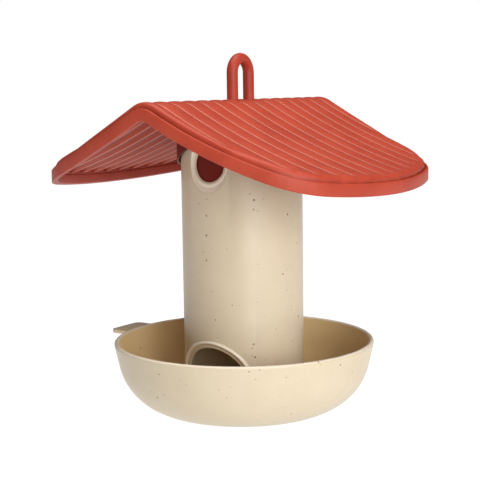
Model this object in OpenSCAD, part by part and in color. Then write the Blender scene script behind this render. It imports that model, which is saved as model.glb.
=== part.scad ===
// Silo bird feeder: a seed tube stands in a round feeding bowl, under a ribbed roof with a hanging loop.
// The roof lifts off the tube for filling, and the tube twists out of the bowl for cleaning.
// Millimetres. The origin is the centre of the bowl's foot, +Z is up and the roof's ridge runs along Y.

/* [Bowl] */
// Radius of the bowl over its rim
bowl_r = 90; // [78:0.5:105]
// Height of the bowl from its foot to its rim
bowl_h = 54; // [44:0.5:70]
// Wall thickness of the bowl
bowl_wall = 3.4; // [2.6:0.1:4.4]
// Outer radius of the flat foot
foot_r = 36; // [34:0.5:40]
// Width of the foot's standing ring
foot_ring = 5; // [3:0.5:8]
// Height of the hollow inside the foot's ring
foot_recess = 1.6; // [0.8:0.1:2]
// Slope of the outer floor, in degrees
floor_slope = 16.4; // [12:0.1:20]
// Slope of the side wall, in degrees
side_slope = 77.5; // [70:0.5:84]
// Outer radius of the bend between the floor and the side wall
bend_r = 41.5; // [25:0.5:46]
// Height of the dome that sends the seed outwards
dome_h = 9; // [4:0.5:16]
// Radius of the dome at the floor
dome_r = 29; // [20:0.5:30]
// Radius of a drain hole
drain_r = 2; // [1.4:0.1:3]
// Number of drain holes
drain_count = 6; // [3:1:10]
// Distance from the tube's seat to a drain hole
drain_gap = 2; // [1:0.5:6]

/* [Grip tab] */
// How far the tab reaches beyond the rim
tab_reach = 18; // [10:0.5:26]
// Width of the tab
tab_w = 32; // [22:0.5:44]
// Thickness of the tab
tab_t = 2.8; // [2:0.1:4]
// Depth of the tab's top below the rim
tab_drop = 2; // [1:0.1:6]
// Corner radius of the tab
tab_corner = 5; // [2:0.5:10]

/* [Seed tube] */
// Outer radius of the tube
tube_r = 41.5; // [40:0.25:44]
// Wall thickness of the tube
tube_wall = 3; // [2.6:0.1:3.6]
// Height of the tube's top edge above the foot
tube_top = 191.4; // [180:0.2:196]

/* [Feeding port at the foot] */
// Radius of the opening
feed_r = 24; // [18:0.25:25]
// Height of the opening's centre
feed_z = 30; // [29:0.25:36]
// Width of the dished band round the opening
feed_band = 3; // [1.5:0.1:4]
// Depth of the dished band
feed_dish = 1.2; // [0.6:0.1:1.6]
// Width of the raised bead round the band
bead_w = 2.4; // [1.4:0.1:3]
// Height of the bead above the tube
bead_h = 1.1; // [0.6:0.1:1.6]

/* [Port under the roof] */
// Radius of the opening
thumb_r = 11.1; // [8:0.1:13]
// Depth of the opening's centre below the tube's top edge
thumb_drop = 14.9; // [13:0.1:18]
// Radius of the opening's rounded-off edge on the outside
thumb_lip_r = 13.3; // [12:0.1:15]
// Radius of the dished ring round the opening
thumb_dish_r = 18.6; // [16:0.1:20]
// Depth of the dished ring
thumb_dish = 1.6; // [0.6:0.1:1.8]
// How far the ring's edge runs inwards for each millimetre of depth
thumb_dish_run = 1.35; // [0.5:0.05:2]

/* [Twist lock] */
// Height of the lugs' underside above the tube's foot
lug_z = 6; // [4:0.25:8]
// Height of a lug
lug_h = 2.6; // [2:0.1:4]
// How far a lug stands out of its spigot
lug_out = 1.3; // [1:0.1:1.4]
// Width of a lug, in degrees
lug_turn = 14; // [8:1:18]
// Play of a lug in its groove, in degrees
lug_play = 1; // [0.5:0.25:2]
// Turn that brings a lug to its entry slot, in degrees
lock_turn = 25; // [20:1:28]
// Height of a spigot wall above the tube's foot
spigot_h = 11; // [9:0.5:14]
// Thickness of a spigot wall
spigot_wall = 2.2; // [1.6:0.1:3]
// Width of a spigot wall, in degrees
spigot_turn = 60; // [40:1:66]
// Clearance between the tube and what it slides on
tube_fit = 0.3; // [0.2:0.05:0.5]

/* [Roof] */
// Half the width of the roof, across the ridge
roof_w = 118.5; // [105:0.5:130]
// Half the length of the roof, along the ridge
roof_l = 109.5; // [98:0.5:118]
// Plan radius of the gable edges
gable_r = 210; // [180:5:600]
// Plan radius of the eaves
eave_r = 245; // [180:5:300]
// Plan radius of the corners
corner_r = 60; // [50:1:85]
// Height of the ridge above the tube's top edge, at the grooves between the ribs
ridge_up = 26.7; // [26.5:0.1:36]
// Slope of the roof beside the ridge, in degrees
ridge_slope = 29.7; // [24:0.1:34]
// Radius of the ridge's rounding
ridge_r = 18; // [14:0.5:26]
// Radius of the hollow curve of each slope
flare_r = 500; // [420:5:700]
// Thickness of the ribbed shell
shell_t = 3.3; // [2:0.1:3.4]
// Distance from rib to rib
rib_pitch = 14.93; // [11:0.01:20]
// Height of a rib above the grooves
rib_h = 1.25; // [0.6:0.05:2]

/* [Roof rim] */
// Height of the rim band, square to the slope
rim_h = 7.9; // [5:0.1:10]
// Depth of the rim's top edge below the grooves between the ribs
rim_drop = 1.9; // [1:0.1:2.4]
// Width of the rim's top edge
rim_lip = 1.5; // [1:0.1:2.4]
// Width of the groove between the rim and the ribs' ends
rim_groove = 1.25; // [0.8:0.05:2]
// Depth of that groove
groove_depth = 1.6; // [0.8:0.1:2.4]
// Thickness of the rim below the ribbed shell
rim_wall = 4.2; // [3.6:0.1:5.5]

/* [Roof plug] */
// Wall thickness of the skirt inside the tube
skirt_wall = 2.2; // [1.6:0.1:3]
// Length of the skirt below the tube's top edge
skirt_l = 34; // [28:0.5:44]
// Chamfer that leads the skirt into the tube
skirt_lead = 0.8; // [0.4:0.1:1.6]
// Clearance between the skirt and the tube's bore
skirt_fit = 0.25; // [0.15:0.05:0.5]
// Thickness of the plate that rests on the tube
plate_t = 2.5; // [2:0.1:3.5]
// Clearance between the plate and the tube's top edge
plate_fit = 0.05; // [0.03:0.01:0.15]
// Wall thickness of the collar round the tube's head
collar_wall = 1.5; // [1.2:0.1:2.4]
// Gap between the collar and the tube
collar_gap = 1.2; // [0.8:0.1:2]
// Height of the collar, straight down from the ribbed shell's outer face
collar_h = 24.3; // [20:0.1:30]
// Clearance between the collar and the ribbed shell
collar_fit = 0.1; // [0.05:0.05:0.3]

/* [Hanging loop] */
// Radius of the loop's round bar
bar_r = 3.83; // [3:0.05:4.5]
// Distance between the loop's legs, centre to centre
leg_gap = 19.5; // [14:0.25:24]
// Height of the loop's top above the ridge
loop_up = 32.3; // [24:0.1:45]
// Clearance between a leg and its hole
leg_fit = 0.12; // [0.08:0.01:0.3]
// Radius of the plug's socket round a leg
socket_r = 6.2; // [5.4:0.1:8]
// Height of the plug's socket round a leg
socket_h = 6; // [3:0.5:10]

/* [Loop screws] */
// Shank radius of a screw
screw_r = 1.5; // [1.2:0.1:1.8]
// Length of a screw under its head
screw_l = 13; // [8:0.5:18]
// Radius of a screw's head
head_r = 3.2; // [2.6:0.1:4]
// Height of a screw's head
head_h = 2; // [1.4:0.1:2.6]
// Clearance between a screw and the plate's hole
screw_fit = 0.25; // [0.1:0.05:0.5]

/* [Hidden] */
$fn = 96;
beige = [0.87, 0.81, 0.69];
terracotta = [0.72, 0.30, 0.22];
steel = [0.72, 0.72, 0.74];
// Overshoot of a cutter past the face that it cuts
over = 1;
// Thin clearance round a screw in its pilot hole
pilot_fit = 0.05;
// How deep a spigot wall is rooted in the bowl's floor
spigot_root = 0.6;
// Share of the bowl's wall that the tab is rooted in
tab_root = 0.75;
// Spare turn of the ridge past the middle plane, in degrees
spare_turn = 4;
// Steps of the round corners in the turned outlines and in the roof's plan
arc_steps = 14;
rim_steps = 10;
dome_steps = 12;
wide_steps = 5;
corner_steps = 10;

tube_in = tube_r - tube_wall;
spigot_r = tube_in - tube_fit;
skirt_r = tube_in - skirt_fit;
collar_in = tube_r + collar_gap;
collar_r = collar_in + collar_wall;
thumb_z = tube_top - thumb_drop;
ridge_z = tube_top + ridge_up;
plate_low = tube_top + plate_fit;
plate_top = plate_low + plate_t;
band_r = feed_r + feed_band;
bead_r = band_r + bead_w;

// Plane geometry: a direction, its left-hand normal and where two lines meet
function along(angle) = [cos(angle), sin(angle)];
function across(angle) = [-sin(angle), cos(angle)];
function cross2(a, b) = a[0] * b[1] - a[1] * b[0];
function meet(p, a, q, b) = p + along(a) * cross2(q - p, along(b)) / cross2(along(a), along(b));
function arc_points(centre, r, from, to, steps) =
    [for (i = [0:steps]) centre + r * along(from + (to - from) * i / steps)];

// The bowl's outline: a sloping floor, a bend and a steep side that ends in a full-round rim
rim_r = bowl_wall / 2;
side_top = [bowl_r - rim_r * (1 - sin(side_slope)), bowl_h - rim_r * (1 + cos(side_slope))];
bend_c = meet([foot_r, 0] + bend_r * across(floor_slope), floor_slope,
              side_top + bend_r * across(side_slope), side_slope);
rim_c = side_top + rim_r * across(side_slope);
seat_in = spigot_r - tube_fit;
seat_out = tube_r + tube_fit;
floor_z = bowl_wall / cos(floor_slope) + (seat_out - foot_r) * tan(floor_slope);
// The tube stands in a shallow groove of the floor
seat_z = floor_z - 1;

function dome(r) = dome_h * (1 + cos(180 * r / dome_r)) / 2;
function dome_line(base, outwards) =
    [for (i = [0:dome_steps])
        let (r = dome_r * (outwards ? i : dome_steps - i) / dome_steps)
            [r, base + dome(r)]];

bowl_outline = concat(
    dome_line(foot_recess, true),
    [[foot_r - foot_ring, foot_recess], [foot_r - foot_ring, 0], [foot_r, 0]],
    arc_points(bend_c, bend_r, floor_slope - 90, side_slope - 90, arc_steps),
    arc_points(rim_c, rim_r, side_slope - 90, side_slope + 90, rim_steps),
    arc_points(bend_c, bend_r - bowl_wall, side_slope - 90, floor_slope - 90, arc_steps),
    [[seat_out, floor_z], [seat_out, seat_z], [seat_in, seat_z], [seat_in, floor_z]],
    dome_line(floor_z, false));

// One piece of pipe wall between two angles
module ring_sector(r_out, r_in, h, middle, turn) {
    rotate([0, 0, middle - turn / 2])
        rotate_extrude(angle = turn)
            translate([r_in, 0])
                square([r_out - r_in, h]);
}

module round_plate(size_x, size_y, corner) {
    for (x = [corner, size_x - corner], y = [-1, 1])
        translate([x, y * (size_y / 2 - corner)])
            circle(r = corner);
    translate([corner, -size_y / 2])
        square([size_x - 2 * corner, size_y]);
    translate([0, corner - size_y / 2])
        square([size_x, size_y - 2 * corner]);
}

module grip_tab() {
    // It ends inside the bowl's wall, so that the wall's inner face stays whole
    root_r = bowl_r - bowl_wall * tab_root;
    plate_l = tab_reach + tab_w;
    translate([0, 0, bowl_h - tab_drop - tab_t])
        difference() {
            linear_extrude(tab_t)
                mirror([1, 0])
                    translate([bowl_r + tab_reach - plate_l, 0])
                        round_plate(plate_l, tab_w, tab_corner);
            translate([0, 0, -over])
                cylinder(r = root_r, h = tab_t + 2 * over);
        }
}

module bowl() {
    color(beige) {
        difference() {
            union() {
                rotate_extrude()
                    polygon(bowl_outline);
                grip_tab();
            }
            for (i = [0:drain_count - 1])
                rotate([0, 0, (i + 0.5) * 360 / drain_count])
                    translate([seat_out + drain_gap + drain_r, 0, -over])
                        cylinder(r = drain_r, h = bowl_h, $fn = 32);
        }
        for (side = [0, 180]) {
            // Each spigot wall is rooted in the floor
            translate([0, 0, seat_z - spigot_root])
                ring_sector(spigot_r, spigot_r - spigot_wall, spigot_h + spigot_root, side, spigot_turn);
            translate([0, 0, seat_z + lug_z])
                ring_sector(spigot_r + lug_out, spigot_r - spigot_wall / 2, lug_h, side, lug_turn);
        }
    }
}

// A round tool that lies along the ports' axis
module port_pin(r, z) {
    translate([0, 0, z])
        rotate([90, 0, 0])
            cylinder(r = r, h = 2 * (tube_r + bead_h + 2 * over), center = true);
}

// Two round tools along the ports' axis that narrow inwards: r is the radius at the tube's outer face
module port_cones(r, z, run, depth) {
    out = 2 * over;
    for (side = [0, 1])
        mirror([0, side, 0])
            translate([0, -tube_r - out, z])
                rotate([-90, 0, 0])
                    cylinder(r1 = r + run * out, r2 = r - run * depth, h = depth + out);
}

// The part of a port's ring that lies between two radii of the tube
module port_band(r, z, r_out, r_in, h_low, h_high) {
    intersection() {
        port_pin(r, z);
        translate([0, 0, h_low])
            difference() {
                cylinder(r = r_out, h = h_high - h_low);
                translate([0, 0, -over])
                    cylinder(r = r_in, h = h_high - h_low + 2 * over);
            }
    }
}

// The ring round the port under the roof: its floor follows the tube, and its edge slopes up to the face
module thumb_dish() {
    intersection() {
        port_cones(thumb_dish_r, thumb_z, thumb_dish_run, thumb_dish_r / 2);
        difference() {
            cylinder(r = tube_r + over, h = tube_top + over);
            translate([0, 0, -over])
                cylinder(r = tube_r - thumb_dish, h = tube_top + 3 * over);
        }
    }
}

module lock_slot(side) {
    groove_r = spigot_r + lug_out + tube_fit;
    // The lug runs along the groove as the tube turns, and leaves through the slot at its end
    translate([0, 0, lug_z - tube_fit])
        ring_sector(groove_r, tube_in - over, lug_h + 2 * tube_fit, side - lock_turn / 2,
                    lug_turn + lock_turn + 2 * lug_play);
    translate([0, 0, -over])
        ring_sector(groove_r, tube_in - over, lug_z + over + tube_fit, side - lock_turn,
                    lug_turn + 2 * lug_play);
}

module seed_tube() {
    feed_low = floor_z + over;
    color(beige)
        difference() {
            union() {
                translate([0, 0, seat_z])
                    cylinder(r = tube_r, h = tube_top - seat_z);
                port_band(bead_r, feed_z, tube_r + bead_h, tube_r - over, feed_low, feed_z + bead_r);
            }
            translate([0, 0, seat_z - over])
                cylinder(r = tube_in, h = tube_top - seat_z + 2 * over);
            port_band(band_r, feed_z, tube_r + bead_h + over, tube_r - feed_dish, feed_low, feed_z + bead_r);
            port_pin(feed_r, feed_z);
            thumb_dish();
            port_pin(thumb_r, thumb_z);
            port_cones(thumb_lip_r, thumb_z, (thumb_lip_r - thumb_r) / tube_wall, tube_wall);
            translate([0, 0, seat_z])
                for (side = [0, 180])
                    lock_slot(side);
        }
}

// The roof's section is a rounded ridge that runs into two hollow slopes.
// Each pair of arcs meets on the line through their centres.
ridge_c = ridge_z - ridge_r;
flare_x = (flare_r + ridge_r) * sin(ridge_slope);
eave_slope = asin((flare_x - roof_w - over) / flare_r);

// Bends a flat section over the roof: its x is the height over the roof's surface, its y runs along the ridge.
module over_roof() {
    for (side = [0, 1])
        mirror([side, 0, 0])
            intersection() {
                translate([0, -2 * roof_l, ridge_z - 2 * roof_w])
                    cube([2 * roof_w, 4 * roof_l, 4 * roof_w]);
                translate([0, 0, ridge_c])
                    rotate([0, ridge_slope, 0]) {
                        bend(ridge_r, 90, ridge_slope + spare_turn)
                            children();
                        translate([0, 0, ridge_r + flare_r])
                            bend(flare_r, 270, ridge_slope - eave_slope)
                                mirror([1, 0])
                                    children();
                    }
            }
}

module bend(r, start, turn) {
    rotate([90, 0, 0])
        rotate_extrude(start = start, angle = turn, $fn = 360)
            translate([r, 0])
                children();
}

// A plain layer between two heights over the roof's surface
module roof_layer(low, high) {
    over_roof()
        translate([low, -2 * roof_l])
            square([high - low, 4 * roof_l]);
}

// The roof's plan: wide arcs for gables and eaves, joined by corner arcs that run into both
gable_c = [0, roof_l - gable_r];
eave_c = [roof_w - eave_r, 0];
plan_line = eave_c - gable_c;
plan_d = norm(plan_line);
plan_x = (pow(gable_r - corner_r, 2) - pow(eave_r - corner_r, 2) + plan_d * plan_d) / (2 * plan_d);
plan_y = sqrt(pow(gable_r - corner_r, 2) - plan_x * plan_x);
corner_c = gable_c + (plan_x * plan_line + plan_y * [plan_line[1], -plan_line[0]]) / plan_d;
gable_end = atan2(corner_c[1] - gable_c[1], corner_c[0] - gable_c[0]);
eave_end = atan2(corner_c[1] - eave_c[1], corner_c[0] - eave_c[0]);

// One quarter of the outline, from the middle of an eave to the middle of a gable
function plan_quarter(inset) = concat(
    arc_points(eave_c, eave_r - inset, 0, eave_end, wide_steps),
    arc_points(corner_c, corner_r - inset, eave_end, gable_end, corner_steps),
    arc_points(gable_c, gable_r - inset, gable_end, 90, wide_steps));

function mirrored(points, x, y) = [for (p = points) [x * p[0], y * p[1]]];
function reversed(points) = [for (i = [len(points) - 1:-1:0]) points[i]];

module plan_block(inset) {
    quarter = plan_quarter(inset);
    translate([0, 0, ridge_z - roof_w])
        linear_extrude(roof_w + rib_h + over)
            polygon(concat(quarter, reversed(mirrored(quarter, -1, 1)),
                           mirrored(quarter, -1, -1), reversed(mirrored(quarter, 1, -1))));
}

// The ribs across the shell: a strip with barrel-shaped ribs on top and the same hollows below
rib_arc_r = (pow(rib_pitch / 2, 2) + rib_h * rib_h) / (2 * rib_h);
rib_count = 2 * ceil(roof_l / rib_pitch) + 1;

module rib_edge() {
    for (i = [0:rib_count - 1])
        let (y = (i - (rib_count - 1) / 2) * rib_pitch)
            translate([0, y])
                intersection() {
                    translate([rib_h - rib_arc_r, 0])
                        circle(r = rib_arc_r, $fn = 360);
                    translate([-shell_t - over, -rib_pitch / 2])
                        square([shell_t + over + rib_h, rib_pitch]);
                }
}

module rib_strip() {
    difference() {
        rib_edge();
        translate([-shell_t, 0])
            rib_edge();
    }
}

module ribbed_field() {
    intersection() {
        over_roof()
            rib_strip();
        plan_block(rim_lip + rim_groove);
    }
}

module roof_rim() {
    difference() {
        intersection() {
            plan_block(0);
            roof_layer(-rim_drop - rim_h, -rim_drop);
        }
        plan_block(rim_wall);
        difference() {
            intersection() {
                plan_block(rim_lip);
                roof_layer(-rim_drop - groove_depth, over - rim_drop);
            }
            plan_block(rim_lip + rim_groove);
        }
    }
}

module loop_holes(r, z, h) {
    for (side = [-1, 1])
        translate([0, side * leg_gap / 2, z])
            cylinder(r = r, h = h);
}

module roof_canopy() {
    color(terracotta)
        difference() {
            union() {
                ribbed_field();
                roof_rim();
            }
            loop_holes(bar_r + leg_fit, plate_top, ridge_up + 2 * rib_h);
        }
}

module roof_plug() {
    color(terracotta) {
        difference() {
            union() {
                // Collar round the tube's head, with its lip parallel to the roof
                intersection() {
                    difference() {
                        cylinder(r = collar_r, h = ridge_z);
                        translate([0, 0, -over])
                            cylinder(r = collar_in, h = ridge_z + 2 * over);
                    }
                    translate([0, 0, -collar_h])
                        roof_layer(0, collar_h);
                }
                translate([0, 0, plate_low])
                    cylinder(r = collar_r, h = plate_t);
                // Skirt inside the tube
                translate([0, 0, tube_top - skirt_l])
                    rotate_extrude()
                        polygon([
                            [skirt_r - skirt_wall, 0], [skirt_r - skirt_lead, 0], [skirt_r, skirt_lead],
                            [skirt_r, skirt_l + plate_t / 2],
                            [skirt_r - skirt_wall, skirt_l + plate_t / 2]]);
                loop_holes(socket_r, plate_top - plate_t / 2, socket_h + plate_t / 2);
            }
            roof_layer(-shell_t - collar_fit, collar_h);
            loop_holes(bar_r + leg_fit, plate_top, socket_h + over);
            loop_holes(screw_r + screw_fit, plate_low - over, plate_t + 2 * over);
        }
    }
}

module hanging_loop() {
    bend_z = ridge_z + loop_up - bar_r - leg_gap / 2;
    color(terracotta)
        difference() {
            union() {
                loop_holes(bar_r, plate_top, bend_z - plate_top);
                translate([0, 0, bend_z])
                    rotate([90, 0, 90])
                        rotate_extrude(angle = 180)
                            translate([leg_gap / 2, 0])
                                circle(r = bar_r, $fn = 48);
            }
            loop_holes(screw_r + pilot_fit, plate_top - over, screw_l - plate_t + 2 * over);
        }
}

module loop_screws() {
    color(steel)
        for (side = [-1, 1])
            translate([0, side * leg_gap / 2, plate_low]) {
                cylinder(r = screw_r, h = screw_l, $fn = 32);
                translate([0, 0, -head_h])
                    cylinder(r = head_r, h = head_h, $fn = 48);
            }
}

bowl();
seed_tube();
roof_canopy();
roof_plug();
hanging_loop();
loop_screws();
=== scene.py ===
"""Silo bird feeder: the looks of a speckled bowl and seed tube under a ribbed terracotta roof.

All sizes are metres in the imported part's frame, and all angles are degrees unless a line says
otherwise. The bowl's foot stands on z = 0, and the roof's ridge runs along Y.
"""

import logging
import math
from collections.abc import Callable
from dataclasses import dataclass
from enum import Enum

import bmesh
import bpy
from mathutils import Matrix, Vector


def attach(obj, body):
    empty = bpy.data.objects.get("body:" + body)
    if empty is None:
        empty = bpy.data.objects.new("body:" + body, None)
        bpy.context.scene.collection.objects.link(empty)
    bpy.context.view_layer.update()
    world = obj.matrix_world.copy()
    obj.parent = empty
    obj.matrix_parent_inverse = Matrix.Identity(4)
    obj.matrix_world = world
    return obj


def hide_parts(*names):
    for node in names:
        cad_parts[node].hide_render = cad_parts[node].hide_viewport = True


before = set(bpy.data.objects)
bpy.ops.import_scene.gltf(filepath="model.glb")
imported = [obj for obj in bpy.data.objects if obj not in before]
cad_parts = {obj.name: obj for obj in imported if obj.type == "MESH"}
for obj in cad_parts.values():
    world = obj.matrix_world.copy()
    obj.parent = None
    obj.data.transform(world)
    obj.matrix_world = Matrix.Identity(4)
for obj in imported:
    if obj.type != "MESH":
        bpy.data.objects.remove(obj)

LOG = logging.getLogger("feeder")
MM = 0.001
WELD = 1e-7
NEAR = 1e-6
WHITE = (1.0, 1.0, 1.0, 1.0)

Point = tuple[float, float]
Outline = list[Point]
Spot = Vector | tuple[float, float, float]
Colour = tuple[float, float, float, float]
Geometry = list[bmesh.types.BMVert | bmesh.types.BMEdge | bmesh.types.BMFace]


class Side(Enum):
    """The two ends of the ports' axis, by the sign of their Y."""

    FRONT = -1
    BACK = 1


class Body(Enum):
    """The bodies that carry the pieces."""

    BOWL = "bowl"
    TUBE = "tube"
    ROOF = "roof"


class Slot(Enum):
    """The record's material slots."""

    BEIGE_PLASTIC = "beige_plastic"
    TERRACOTTA_PLASTIC = "terracotta_plastic"
    SCREW_STEEL = "screw_steel"


# Drawing outlines


def polar(radius: float, angle: float) -> Point:
    """Point at a radius and an angle."""
    return radius * math.cos(math.radians(angle)), radius * math.sin(math.radians(angle))


def shifted(point: Point, way: Point) -> Point:
    """Point that lies a given way from another."""
    return point[0] + way[0], point[1] + way[1]


def arc(centre: Point, radius: float, start: float, end: float, steps: int) -> Outline:
    """Draws an arc.

    Args:
        centre: The arc's centre.
        radius: Its radius.
        start: First angle.
        end: Last angle.
        steps: Number of straight steps.

    Returns:
        The arc's points, both ends included.
    """
    turns = [start + (end - start) * i / steps for i in range(steps + 1)]
    return [shifted(centre, polar(radius, t)) for t in turns]


def crossing(p: Point, p_angle: float, q: Point, q_angle: float) -> Point:
    """Finds where two lines meet.

    Args:
        p: A point of the first line.
        p_angle: Its direction.
        q: A point of the second line.
        q_angle: Its direction.

    Returns:
        The meeting point.
    """
    a, b = polar(1, p_angle), polar(1, q_angle)
    reach = ((q[0] - p[0]) * b[1] - (q[1] - p[1]) * b[0]) / (a[0] * b[1] - a[1] * b[0])
    return p[0] + a[0] * reach, p[1] + a[1] * reach


def softened(corners: list[tuple[float, float, float]], steps: int = 4) -> Outline:
    """Rounds the corners of a closed outline.

    Args:
        corners: Each corner's two coordinates and its rounding radius.
        steps: Straight steps in each rounding.

    Returns:
        The closed outline's points.
    """
    points: Outline = []
    for i, (x, y, radius) in enumerate(corners):
        if radius <= 0:
            points.append((x, y))
            continue
        here = Vector((x, y))
        back = (Vector(corners[i - 1][:2]) - here).normalized()
        on = (Vector(corners[(i + 1) % len(corners)][:2]) - here).normalized()
        half = back.angle(on) / 2
        centre = here + (back + on).normalized() * radius / math.sin(half)
        first = here + back * radius / math.tan(half) - centre
        last = here + on * radius / math.tan(half) - centre
        sweep = first.angle_signed(last)
        for k in range(steps + 1):
            spoke = first.copy()
            spoke.rotate(Matrix.Rotation(-sweep * k / steps, 2))
            points.append(tuple(centre + spoke))
    return points


# Working a mesh


class Form:
    """A mesh under work, with the moves that the feeder's pieces are made by."""

    def __init__(self) -> None:
        """Starts with nothing on the bench."""
        self.bm = bmesh.new()

    def whole(self) -> Geometry:
        """Every vertex, edge and face."""
        return self.bm.verts[:] + self.bm.edges[:] + self.bm.faces[:]

    def draw(self, points: list[Spot], closed: bool) -> list[bmesh.types.BMEdge]:
        """Draws a line of edges.

        Args:
            points: The line's points.
            closed: Whether the last point joins the first.

        Returns:
            The new edges.
        """
        verts = [self.bm.verts.new(p) for p in points]
        pairs = list(zip(verts, verts[1:])) + ([(verts[-1], verts[0])] if closed else [])
        return [self.bm.edges.new(pair) for pair in pairs]

    def sheet(self, corners: list[Spot]) -> list[bmesh.types.BMFace]:
        """Draws a closed line and fills it with a face, which it gives back."""
        return bmesh.ops.contextual_create(self.bm, geom=self.draw(corners, True))["faces"]

    def spin(self, geom: Geometry, angle: float, steps: int, centre: Spot = (0, 0, 0),
             axis: Spot = (0, 0, 1)) -> None:
        """Spins geometry round an axis, and merges the end of a full turn with its start.

        Args:
            geom: What is spun.
            angle: How far, in radians.
            steps: Number of steps.
            centre: A point of the axis.
            axis: The axis's direction.
        """
        bmesh.ops.spin(self.bm, geom=geom, cent=centre, axis=axis, dvec=(0, 0, 0), angle=angle, steps=steps,
                       use_merge=angle == math.tau, use_normal_flip=False, use_duplicate=False)

    def turn(self, outline: Outline, steps: int, closed: bool = True) -> None:
        """Turns an outline of radii and heights once round the tube's axis.

        Args:
            outline: The outline.
            steps: Steps of the full turn.
            closed: Whether the outline's last point joins its first.
        """
        edges = self.draw([(r, 0, z) for r, z in outline], closed)
        verts = list(dict.fromkeys(v for e in edges for v in e.verts))
        self.spin(verts + edges, math.tau, steps)
        self.close()

    def sector(self, inner: float, outer: float, low: float, high: float, middle: float, turn: float) -> None:
        """Turns a rectangle part of the way round the tube's axis, in steps of about 3 degrees.

        Args:
            inner: Inner radius.
            outer: Outer radius.
            low: Lower height.
            high: Upper height.
            middle: Angle of the sector's middle.
            turn: Its width as an angle.
        """
        start = Matrix.Rotation(math.radians(middle - turn / 2), 3, "Z")
        corners = ((inner, low), (outer, low), (outer, high), (inner, high))
        face = self.sheet([start @ Vector((r, 0, z)) for r, z in corners])
        self.spin(face, math.radians(turn), max(4, int(turn / 3)))
        self.close()

    def pull(self, faces: list[bmesh.types.BMFace], way: Spot, keep: bool = False) -> set[bmesh.types.BMVert]:
        """Extrudes faces.

        Args:
            faces: The faces.
            way: How far and where to.
            keep: Whether the old faces stay as the far side.

        Returns:
            The new vertices.
        """
        made = bmesh.ops.extrude_face_region(self.bm, geom=faces, use_keep_orig=keep)["geom"]
        fresh = [g for g in made if isinstance(g, bmesh.types.BMVert)]
        bmesh.ops.translate(self.bm, verts=fresh, vec=way)
        return set(fresh)

    def loft(self, rings: list[list[Spot]]) -> None:
        """Draws a tube-like skin through rings of equally many points, and joins the last to the first.

        Args:
            rings: The rings in order.
        """
        first = bmesh.ops.create_circle(self.bm, cap_ends=False, segments=len(rings[0]), radius=1)["verts"]
        ring = first
        for k, places in enumerate(rings):
            if k:
                made = set(bmesh.ops.extrude_edge_only(self.bm, edges=self._round(ring))["geom"])
                ring = [next(e.other_vert(v) for e in v.link_edges if e.other_vert(v) in made) for v in ring]
            for vert, place in zip(ring, places):
                vert.co = place
        bmesh.ops.bridge_loops(self.bm, edges=self._round(first) + self._round(ring))
        self.close()

    @staticmethod
    def _round(ring: list[bmesh.types.BMVert]) -> list[bmesh.types.BMEdge]:
        """The edges that join a ring's vertices."""
        members = set(ring)
        return list(dict.fromkeys(e for v in ring for e in v.link_edges if e.other_vert(v) in members))

    def clip(self, height: float, above: bool = False) -> None:
        """Cuts off one side of a level plane and closes the cut.

        Args:
            height: The plane's height.
            above: Whether the upper side goes, and not the lower one.
        """
        cut = bmesh.ops.bisect_plane(self.bm, geom=self.whole(), dist=WELD, plane_co=(0, 0, height),
                                     plane_no=(0, 0, 1), clear_inner=not above, clear_outer=above)
        rims = [g for g in cut["geom_cut"] if isinstance(g, bmesh.types.BMEdge)]
        bmesh.ops.edgenet_fill(self.bm, edges=rims)
        self.close()

    def close(self) -> None:
        """Merges doubles and turns every face outwards."""
        bmesh.ops.remove_doubles(self.bm, verts=self.bm.verts[:], dist=WELD)
        bmesh.ops.recalc_face_normals(self.bm, faces=self.bm.faces[:])

    def add(self, other: "Form") -> None:
        """Adds another form's mesh and uses that form up.

        Args:
            other: The form that is added.
        """
        scratch = bpy.data.meshes.new("scratch")
        other.bm.to_mesh(scratch)
        other.bm.free()
        self.bm.from_mesh(scratch)
        bpy.data.meshes.remove(scratch)

    def cut(self, cutter: "Form") -> None:
        """Takes another form's volume away and uses that form up.

        Args:
            cutter: The form that is taken away.
        """
        body, tool = self._set_down("cut_body"), cutter._set_down("cut_tool")
        modifier = body.modifiers.new("cut", "BOOLEAN")
        modifier.object, modifier.operation, modifier.solver = tool, "DIFFERENCE", "EXACT"
        modifier.use_self = True
        bpy.context.view_layer.update()
        made = bpy.data.meshes.new_from_object(body.evaluated_get(bpy.context.evaluated_depsgraph_get()))
        self.bm = bmesh.new()
        self.bm.from_mesh(made)
        meshes = [body.data, tool.data, made]
        for obj in (body, tool):
            bpy.data.objects.remove(obj)
        for mesh in meshes:
            bpy.data.meshes.remove(mesh)

    def finish(self, name: str, crease: float = 32.0) -> bpy.types.Object:
        """Makes the finished piece, smooth but for its sharp edges.

        Args:
            name: The piece's name.
            crease: Edges that turn by more than this stay sharp.

        Returns:
            The piece, at the origin.
        """
        limit = math.radians(crease)
        for face in self.bm.faces:
            face.smooth = True
        for edge in self.bm.edges:
            edge.smooth = edge.calc_face_angle(0) < limit
        return self._set_down(name)

    def _set_down(self, name: str) -> bpy.types.Object:
        """Moves the form's mesh into an object of the scene.

        Args:
            name: The object's name and its mesh's.

        Returns:
            The object, at the origin.
        """
        mesh = bpy.data.meshes.new(name)
        self.bm.to_mesh(mesh)
        self.bm.free()
        obj = bpy.data.objects.new(name, mesh)
        bpy.context.scene.collection.objects.link(obj)
        return obj


def mark(piece: bpy.types.Object, name: str, amount: Callable[[bpy.types.MeshVertex], float]) -> None:
    """Stores a number at each of a piece's vertices, which its material reads.

    Args:
        piece: The piece.
        name: The attribute's name.
        amount: Gives the number for a vertex, cut off at 0 and 1.
    """
    layer = piece.data.attributes.new(name, "FLOAT", "POINT")
    layer.data.foreach_set("value", [min(max(amount(v), 0.0), 1.0) for v in piece.data.vertices])


# Finishes


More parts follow.
